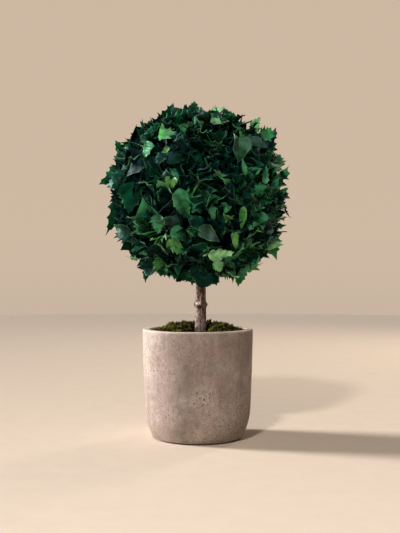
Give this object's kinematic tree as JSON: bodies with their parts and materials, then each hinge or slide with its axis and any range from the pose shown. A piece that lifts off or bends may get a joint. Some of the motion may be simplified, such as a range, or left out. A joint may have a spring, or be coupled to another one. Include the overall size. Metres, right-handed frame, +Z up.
{
  "type": "potted preserved ivy ball topiary",
  "caption": "Ball topiary of preserved ivy leaves on a short woody stem, planted in a rounded concrete pot topped with moss.",
  "frame": {"origin": "centre of the flat underside of the pot", "axes": "+Z straight up along the pot's axis, +X to the right and -Y towards the viewer of the picture"},
  "size_m": [0.2883, 0.2724, 0.5031],
  "materials": {
    "pot": "matte",
    "planting_fill": "matte",
    "moss": "matte",
    "bark": "matte",
    "leaves": "satin"
  },
  "bodies": {
    "root": {"pot": "pot", "planting_fill": "planting_fill", "moss": "moss", "trunk": "bark", "foliage_ball": "leaves"}
  },
  "joints": []
}
